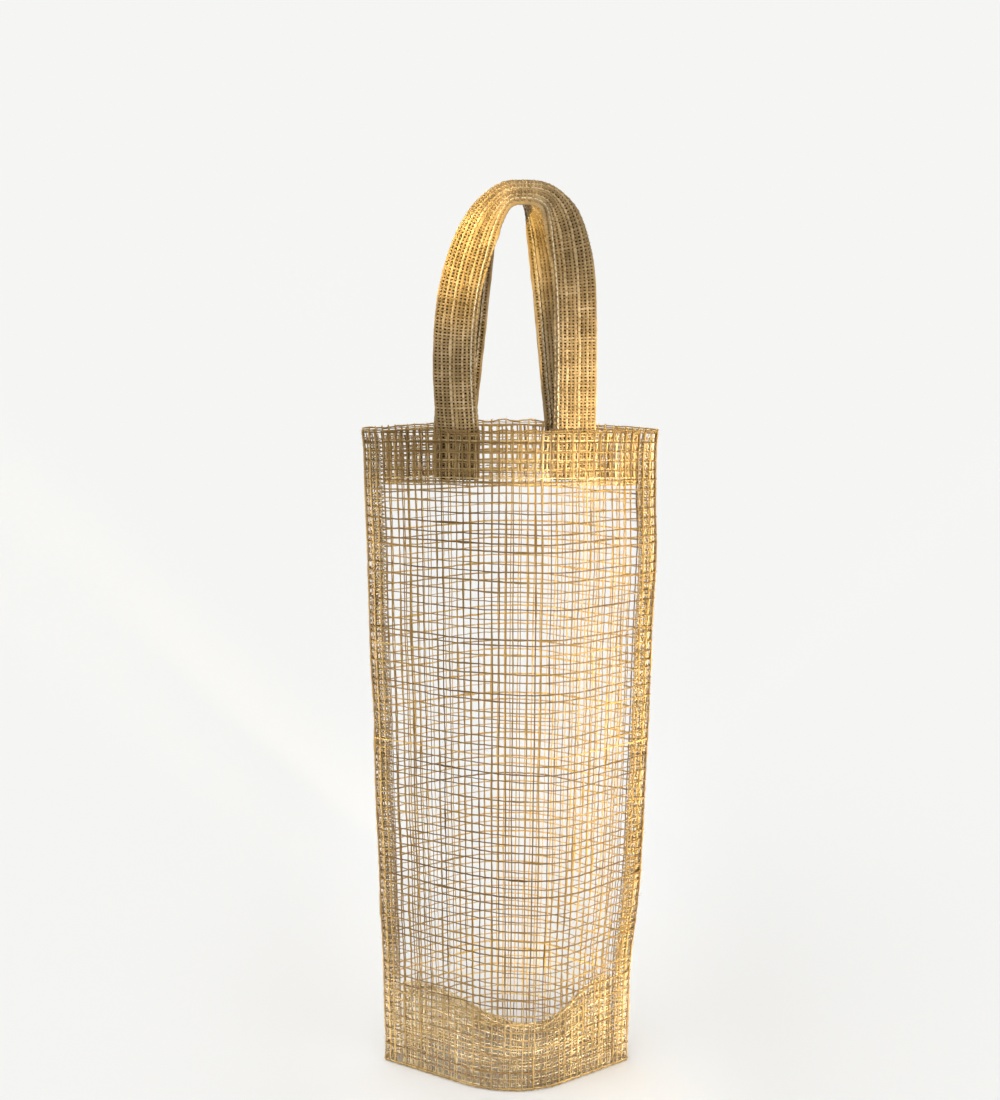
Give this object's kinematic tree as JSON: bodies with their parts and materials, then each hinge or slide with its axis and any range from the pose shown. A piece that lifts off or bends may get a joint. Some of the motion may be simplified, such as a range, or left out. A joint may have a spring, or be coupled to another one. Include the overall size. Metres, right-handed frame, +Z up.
{
  "type": "bottle carrier bag",
  "caption": "Tall open-net jute bottle bag with a turned-in hem, overlocked side seams, a base gusset folded up inside and two sewn strap handles that fold down over the rim.",
  "frame": {"origin": "middle of the base on the surface that the bag stands on", "axes": "+Z up towards the handles, +X across the bag from its left seam to its right seam, +Y from the front panel to the back panel"},
  "size_m": [0.1494, 0.074, 0.4881],
  "materials": {
    "jute_net": "open plain weave of single jute yarns, matt and hairy",
    "jute_strap": "close plain weave of jute yarns, folded into a flat strap",
    "sewing_thread": "spun ivory thread"
  },
  "bodies": {
    "bag": {"front_panel": "jute_net", "back_panel": "jute_net", "base_gusset": "jute_net", "front_hem": "jute_net", "back_hem": "jute_net", "left_seam_allowance": "jute_net", "right_seam_allowance": "jute_net", "left_seam_overlock": "sewing_thread", "right_seam_overlock": "sewing_thread", "front_hem_stitching": "sewing_thread", "back_hem_stitching": "sewing_thread", "front_handle_left_end": "jute_strap", "front_handle_right_end": "jute_strap", "back_handle_left_end": "jute_strap", "back_handle_right_end": "jute_strap", "front_handle_left_end_stitching": "sewing_thread", "front_handle_right_end_stitching": "sewing_thread", "back_handle_left_end_stitching": "sewing_thread", "back_handle_right_end_stitching": "sewing_thread"},
    "front_handle": {"front_handle_strap": "jute_strap", "front_handle_stitching": "sewing_thread"},
    "back_handle": {"back_handle_strap": "jute_strap", "back_handle_stitching": "sewing_thread"}
  },
  "joints": [
    {"name": "front_handle_fold", "type": "hinge", "parent": "bag", "child": "front_handle", "pos_m": [0, -0.0085, 0.36], "axis": [1, 0, 0], "range_deg": [0, 165]},
    {"name": "back_handle_fold", "type": "hinge", "parent": "bag", "child": "back_handle", "pos_m": [0, 0.0205, 0.36], "axis": [-1, 0, 0], "range_deg": [0, 165]}
  ]
}
